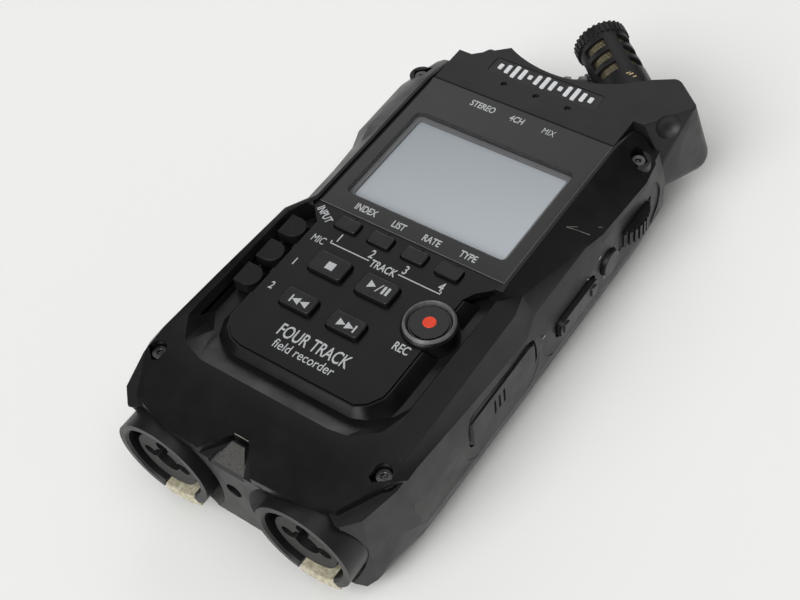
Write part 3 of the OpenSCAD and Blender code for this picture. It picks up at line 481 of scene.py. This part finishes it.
# node: material, width of its rounded edges in mm, bevel segments
FINISH = {
    "front_cover": ("cover", 0.45, 3),
    "middle_frame": ("case", 0.25, 2),
    "rear_case": ("case", 0.3, 2),
    "battery_cover": ("case", 0.2, 2),
    "battery_tray": ("inner", 0.1, 1),
    "mic_guard": ("guard", 0.35, 3),
    "left_socket": ("collar", 0.3, 3),
    "right_socket": ("collar", 0.3, 3),
    "left_insert": ("insert", 0.15, 2),
    "right_insert": ("insert", 0.15, 2),
    "left_release_tab": ("tab", 0.15, 2),
    "right_release_tab": ("tab", 0.15, 2),
    "card_cover": ("case", 0.15, 2),
    "key_panel": ("panel", 0.3, 2),
    "badge": ("badge", 0.05, 1),
    "lcd_module": ("display", 0.1, 1),
    "main_board": ("board", 0.1, 1),
    "front_screws": ("screw", 0.12, 2),
    "rear_screws": ("screw", 0.12, 2),
    "rec_button": ("cap", 0.2, 2),
    "rec_ring": ("ring", 0.2, 2),
    "status_lights": ("lamp", 0.1, 1),
    "track_lights": ("lamp", 0.05, 1),
    "front_mic_housing": ("mic", 0.12, 2),
    "rear_mic_housing": ("mic", 0.12, 2),
    "front_mic_mesh": ("gauze", 0.05, 1),
    "rear_mic_mesh": ("gauze", 0.05, 1),
    "front_mic_capsule": ("capsule", 0.2, 2),
    "rear_mic_capsule": ("capsule", 0.2, 2),
    "jog_dial": ("key", 0.1, 2),
    "menu_button": ("key", 0.3, 2),
    "level_rocker": ("key", 0.3, 2),
    "volume_rocker": ("key", 0.3, 2),
    "power_switch": ("key", 0.25, 2),
    "card_socket": ("steel", 0.1, 1),
    "memory_card": ("card", 0.1, 1),
    "phone_jack": ("inner", 0.2, 2),
    "usb_port": ("steel", 0.05, 1),
    "remote_jack": ("inner", 0.2, 2),
    "mic_input_jack": ("inner", 0.2, 2),
    "socket_contacts": ("brass", 0.1, 1),
    "strap_bar": ("steel", 0.1, 2),
    "batteries": ("battery", 0.3, 2),
    "battery_contacts": ("steel", 0.05, 1),
    "tripod_bush": ("brass", 0.2, 2),
    "speaker": ("speaker", 0.2, 1),
}
KEYS = ["stop_button", "play_button", "rewind_button", "forward_button"]
TRACK_KEYS = [f"track_button_{i}" for i in range(1, 5)]
INPUT_KEYS = ["input_button_mic", "input_button_1", "input_button_2"]
FINISH.update({key: ("key", 0.35, 3) for key in KEYS + TRACK_KEYS})
FINISH.update({key: ("rubber", 0.3, 2) for key in INPUT_KEYS})

for name, (material, width, segments) in FINISH.items():
    node = NODE[name]
    node.data.materials.clear()
    node.data.materials.append(MAT[material])
    bevel(node, width, segments, 28.0, carried=True)

# ---- display window -----------------------------------------------------------------

low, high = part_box("display_window")
(LEFT, BOTTOM, WINDOW_LOW_Z), (RIGHT, TOP, WINDOW_Z) = Vector(low) / MM, Vector(high) / MM
LCD_X, LCD_Y, LCD_W, LCD_L = 0.1, 9.7, 43.2, 29.8
LCD_CORNER_R = 1.6


def lcd_outline(wider, corner_r=LCD_CORNER_R):
    """The outline of the visible display, made wider or narrower."""
    return rounded_box_outline(LCD_X, LCD_Y, LCD_W + wider, LCD_L + wider, corner_r)


outer = rounded_box_outline((LEFT + RIGHT) / 2, (BOTTOM + TOP) / 2, RIGHT - LEFT, TOP - BOTTOM, 0.5)
border = piece("window_border", frame_prism(outer, lcd_outline(0.0), WINDOW_LOW_Z, WINDOW_Z), "window")
bevel(border, 0.18, 2)
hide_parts("display_window")
piece("display_bezel",
      frame_prism(lcd_outline(2.0), lcd_outline(-2.2, 0.9), WINDOW_LOW_Z - 0.45, WINDOW_LOW_Z - 0.02),
      "bezel")
piece("clear_pane", prism(lcd_outline(-0.02), WINDOW_Z - 0.07, WINDOW_Z - 0.02), "pane")

# ---- prints on the panel ------------------------------------------------------------

PRINT_LIFT = 0.02               # ink stands this far above its surface
INK = 0.01                      # thickness of the ink
PRINT_Z = WINDOW_Z + PRINT_LIFT


def bar(x0, y0, x1, y1, width=0.28):
    """A printed line between two points, as a thin flat strip."""
    a, b = Vector((x0, y0)), Vector((x1, y1))
    side = (b - a).normalized().orthogonal() * width / 2
    return prism([a + side, b + side, b - side, a - side], PRINT_Z - INK, PRINT_Z)


def label(words, size, x, y, turn=0.0, width=0.72, thick=0.055):
    return text_mesh(words, size, (x, y, PRINT_Z), turn, width, thick)


window_print = [label("INDEX", 2.7, -13.7, -7.9), label("LIST", 2.7, -4.4, -8.2),
                label("RATE", 2.7, 4.5, -8.2), label("TYPE", 2.7, 14.1, -8.0),
                label("STEREO", 2.7, -8.6, 33.2), label("4CH", 2.7, 0.9, 33.2),
                label("MIX", 2.7, 9.6, 33.2, thick=0.0)]
join("window_print", window_print, "print")
panel_print = [label("INPUT", 2.7, -21.3, -13.6, -31.0), label("MIC", 2.9, -17.9, -20.4, thick=0.0),
               label("1", 2.9, -18.7, -28.2), label("2", 2.9, -18.9, -36.2),
               label("1", 3.4, -13.9, -17.8), label("2", 3.4, -4.7, -18.0), label("3", 3.4, 4.4, -18.1),
               label("4", 3.4, 13.8, -18.1), label("TRACK", 2.9, -0.3, -20.1),
               label("REC", 3.1, 15.7, -36.0),
               bar(-15.0, -19.8, -4.3, -19.8), bar(-15.0, -19.7, -15.0, -19.0),
               bar(3.6, -19.8, 14.6, -19.8), bar(14.5, -19.7, 14.5, -19.0),
               label("FOUR TRACK", 4.6, -0.8, -44.8, 0.0, 0.66, 0.05),
               label("field recorder", 3.3, -0.9, -48.3, 0.0, 0.86, 0.01)]
join("panel_print", panel_print, "print")

# ---- symbols on the transport keys ----------------------------------------------------

KEY_PRINT_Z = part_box("stop_button")[1][2] / MM + PRINT_LIFT


def key_print(outline):
    return prism(outline, KEY_PRINT_Z - INK, KEY_PRINT_Z)


def triangle(x, y, w, h):
    """Printed arrow head: positive width points to the right."""
    outline = [(x, y - h / 2), (x + w, y), (x, y + h / 2)]
    return key_print(outline if w > 0 else outline[::-1])


def upright(x, y, w, h, lean=0.0):
    """Printed upright bar, or one that leans over."""
    return key_print([(x - w / 2 - lean, y - h / 2), (x + w / 2 - lean, y - h / 2),
                      (x + w / 2 + lean, y + h / 2), (x - w / 2 + lean, y + h / 2)])


SYMBOLS = {
    "stop": [upright(-10.0, -26.1, 2.1, 2.1)],
    "play": [triangle(0.2, -25.8, 1.9, 2.2), upright(3.0, -25.8, 0.28, 2.4, 0.45),
             upright(4.2, -25.8, 0.62, 2.2), upright(5.2, -25.8, 0.62, 2.2)],
    "rewind": [upright(-12.1, -37.5, 0.42, 2.0), triangle(-9.9, -37.5, -2.0, 2.0),
               triangle(-7.8, -37.5, -2.0, 2.0)],
    "forward": [triangle(0.5, -37.5, 2.0, 2.0), triangle(2.6, -37.5, 2.0, 2.0),
                upright(4.9, -37.5, 0.42, 2.0)],
}
for key, shapes in SYMBOLS.items():
    join(f"{key}_symbol", shapes, "print", f"{key}_key")

# ---- ramp between the sockets ---------------------------------------------------------


def slab(corners, thick):
    """A thin closed plate: four corners in order, thickened downwards along their normal."""
    top = [Vector(c) * MM for c in corners]
    down = (top[1] - top[0]).cross(top[2] - top[0]).normalized() * -thick * MM
    bm = bmesh.new()
    high = [bm.verts.new(c) for c in top]
    low = [bm.verts.new(c + down) for c in top]
    bm.faces.new(high)
    bm.faces.new(list(reversed(low)))
    for i in range(4):
        j = (i + 1) % 4
        bm.faces.new((high[i], low[i], low[j], high[j]))
    return bm


ramp_corners = [(-1.6, -71.65, 33.41), (-4.1, -75.85, 30.17), (4.1, -75.85, 30.17), (1.6, -71.65, 33.41)]
piece("ramp_face", slab(ramp_corners, 0.04), "ramp")

# ---- fine lines: grooves round the window, painted highlights on its edges, marks, worn edges and painted highlights on the right rail ---


STROKE_FOOT = 0.05              # how far a stroke's lower side sinks into the surface


def stroke(points, width, facing=(0.0, 0.0, 1.0), lift=0.03):
    """A thin flat strip that follows points on a surface, lifted a little off it."""
    n = Vector(facing).normalized()
    path = [Vector(p) for p in points]
    bm = bmesh.new()
    rings = []
    for i, p in enumerate(path):
        along = (path[min(i + 1, len(path) - 1)] - path[max(i - 1, 0)]).normalized()
        side = along.cross(n).normalized() * width / 2
        rings.append([bm.verts.new((p + q) * MM) for q in
                      (side - n * STROKE_FOOT, side + n * lift, -side + n * lift, -side - n * STROKE_FOOT)])
    for a, b in zip(rings, rings[1:]):
        for i in range(4):
            j = (i + 1) % 4
            bm.faces.new((a[i], a[j], b[j], b[i]))
    bm.faces.new(list(reversed(rings[0])))
    bm.faces.new(rings[-1])
    return bm


def across(x0, x1, y, width):
    """A stroke along the width, just below the window's face."""
    return stroke([(x0, y, GROOVE_Z), (x1, y, GROOVE_Z)], width)


def lengthwise(x, y0, y1, width):
    """A stroke along the length, just below the window's face."""
    return stroke([(x, y0, GROOVE_Z), (x, y1, GROOVE_Z)], width)


GROOVE_Z = WINDOW_Z - 0.02
join("window_groove", [lengthwise(RIGHT + 0.1, BOTTOM, TOP, 0.42), lengthwise(LEFT - 0.1, BOTTOM, TOP, 0.42),
                       across(LEFT, RIGHT, BOTTOM - 0.05, 0.40), across(LEFT, RIGHT, TOP + 0.1, 0.50)],
     "groove")
# painted highlight: thin light lines along the window's lower edge and right edge
join("window_edge_highlight", [across(LEFT + 0.2, RIGHT - 0.2, BOTTOM + 0.28, 0.10),
                     lengthwise(RIGHT - 0.28, BOTTOM + 0.2, TOP, 0.06)], "mark")

SIDE = (1.0, 0.0, 0.1)          # the right side faces slightly upwards
SIDE_X = 33.8
door_slit = [
    stroke([(33.92, -20.6, 25.0), (33.95, -25.2, 25.6), (33.95, -30.4, 26.05)], 0.42, SIDE),
    stroke([(33.95, -30.4, 26.05), (33.93, -34.4, 26.3), (33.93, -37.3, 26.4)], 0.16, SIDE),
    stroke([(33.93, -37.3, 26.4), (34.0, -38.6, 25.9), (34.1, -39.3, 25.0), (34.12, -39.6, 23.0),
            (34.12, -39.6, 19.4)], 0.42, SIDE)]
join("door_slit", door_slit, "groove")
side_marks = [stroke([(SIDE_X, y, 13.2), (SIDE_X, y, 14.1)], 0.28, SIDE)
              for y in (17.2, 18.1, 18.9, 19.8, 20.6)]
side_marks += [stroke([(SIDE_X, 9.4, 20.9), (SIDE_X, 10.1, 20.5)], 0.22, SIDE),
               stroke([(SIDE_X, -10.0, 20.9), (SIDE_X, -8.9, 20.9)], 0.18, SIDE),
               stroke([(33.85, 14.7, 22.6), (33.85, 15.5, 22.9)], 0.22, SIDE)]
join("side_marks", side_marks, "print")

# Wear on the lip's notch and the lip's edge, and a painted highlight: two light lines that start together on
# the right rail, along the edges of its step.
RAIL = (0.66, 0, 0.75)
wear_and_highlight_strokes = [
    stroke([(-1.9, -70.2, 34.25), (0.0, -70.2, 34.25), (1.8, -70.2, 34.25)], 0.14, (0, -0.3, 1), 0.06),
    stroke([(7.2, -76.3, 33.06), (12.0, -76.15, 33.06), (17.0, -75.85, 33.1)], 0.09, (0, -0.5, 1)),
    stroke([(27.76, 10.56, 34.41), (30.4, 13.9, 32.6), (33.1, 17.0, 30.9)], 0.08, RAIL, 0.16),
    stroke([(27.76, 10.56, 34.41), (30.0, 12.2, 32.7), (32.0, 13.5, 31.2)], 0.07, RAIL, 0.16)]
join("wear_and_highlight_strokes", wear_and_highlight_strokes, "worn")
mic_mark = [stroke([(14.4, 61.6, 33.08), (15.0, 62.6, 33.06)], 0.34, (0.05, 0, 1)),
            stroke([(15.2, 61.6, 33.03), (15.8, 62.6, 33.0)], 0.34, (0.12, 0, 1)),
            stroke([(16.3, 61.5, 32.86), (16.8, 62.3, 32.78)], 0.30, (0.2, 0, 1))]
join("mic_mark", mic_mark, "gold", "front_mic")

# ---- stage --------------------------------------------------------------------------


def stage():
    """Pale floor, one sheet that is much larger than the recorder."""
    pale, half = (0.90, 0.90, 0.89), 4.0
    s = Shader("pale_floor", pale, 0.7)
    s.colour(s.mottled(60.0, pale, (0.905, 0.905, 0.895)))
    mesh = bpy.data.meshes.new("floor")
    mesh.from_pydata([(-half, -half, 0), (half, -half, 0), (half, half, 0), (-half, half, 0)], [],
                     [(0, 1, 2, 3)])
    mesh.materials.append(s.material)
    floor = bpy.data.objects.new("floor", mesh)
    bpy.context.scene.collection.objects.link(floor)


def studio(base, lobes):
    """Soft light from all round: a dim base, and round soft areas at an azimuth and an elevation."""
    world = bpy.data.worlds.new("studio")
    world.use_nodes = True
    tree = world.node_tree
    tree.nodes.clear()
    direction = tree.nodes.new("ShaderNodeTexCoord").outputs["Generated"]
    total = None
    for azimuth, elevation, half_angle, edge, radiance in lobes:
        a, e = math.radians(azimuth), math.radians(elevation)
        towards = tree.nodes.new("ShaderNodeVectorMath")
        towards.operation = "DOT_PRODUCT"
        level = math.cos(e)
        towards.inputs[1].default_value = (math.cos(a) * level, math.sin(a) * level, math.sin(e))
        tree.links.new(direction, towards.inputs[0])
        shape = tree.nodes.new("ShaderNodeMapRange")
        shape.interpolation_type = "SMOOTHSTEP"
        shape.inputs["From Min"].default_value = math.cos(math.radians(half_angle + edge))
        shape.inputs["From Max"].default_value = math.cos(math.radians(max(half_angle - edge, 0.0)))
        shape.inputs["To Max"].default_value = radiance
        tree.links.new(towards.outputs["Value"], shape.inputs["Value"])
        add = tree.nodes.new("ShaderNodeMath")
        add.operation = "ADD"
        add.inputs[0].default_value = base
        if total is not None:
            tree.links.new(total, add.inputs[0])
        tree.links.new(shape.outputs[0], add.inputs[1])
        total = add.outputs[0]
    lit = tree.nodes.new("ShaderNodeBackground")
    lit.inputs["Color"].default_value = (1.0, 1.0, 0.995, 1.0)
    tree.links.new(total, lit.inputs["Strength"])
    seen = tree.nodes.new("ShaderNodeBackground")
    seen.inputs["Color"].default_value = (0.86, 0.86, 0.855, 1.0)
    path = tree.nodes.new("ShaderNodeLightPath")
    both = tree.nodes.new("ShaderNodeMixShader")
    output = tree.nodes.new("ShaderNodeOutputWorld")
    tree.links.new(path.outputs["Is Camera Ray"], both.inputs[0])
    tree.links.new(lit.outputs[0], both.inputs[1])
    tree.links.new(seen.outputs[0], both.inputs[2])
    tree.links.new(both.outputs[0], output.inputs[0])
    bpy.context.scene.world = world


def camera():
    """A short telephoto above the lower right corner, looking up along the recorder."""
    data = bpy.data.cameras.new("camera")
    data.sensor_width = 36.0
    data.lens = 61.33
    data.clip_start = 0.01
    holder = bpy.data.objects.new("camera", data)
    look = Vector((-0.4268, 0.4650, -0.7756)).normalized()
    up = Vector((-0.3924, 0.6775, 0.6221))
    right = look.cross(up).normalized()
    up = right.cross(look)
    turn = Matrix((right, up, -look)).transposed().to_4x4()
    holder.matrix_world = Matrix.Translation((0.13265, -0.1612, 0.2617)) @ turn
    bpy.context.scene.collection.objects.link(holder)
    bpy.context.scene.camera = holder


stage()
camera()
# Each soft area: azimuth, elevation, half angle and softness of its edge in degrees, radiance.
LOBES = [(270.0, 50.0, 18.0, 6.0, 5.6), (260.0, 28.0, 19.0, 7.0, 2.5), (0.0, 70.0, 17.0, 6.0, 2.3),
         (20.0, 28.0, 19.0, 7.0, 0.3), (200.0, 8.0, 20.0, 7.0, 0.6), (90.0, 50.0, 18.0, 6.0, 0.55),
         (135.0, 50.0, 18.0, 6.0, 0.55), (134.0, 49.0, 9.0, 3.0, 0.3), (127.0, 38.0, 9.0, 3.0, 0.35),
         (115.0, 9.0, 11.0, 5.0, 2.3)]
studio(0.02, LOBES)
bpy.context.scene.view_settings.view_transform = "Standard"
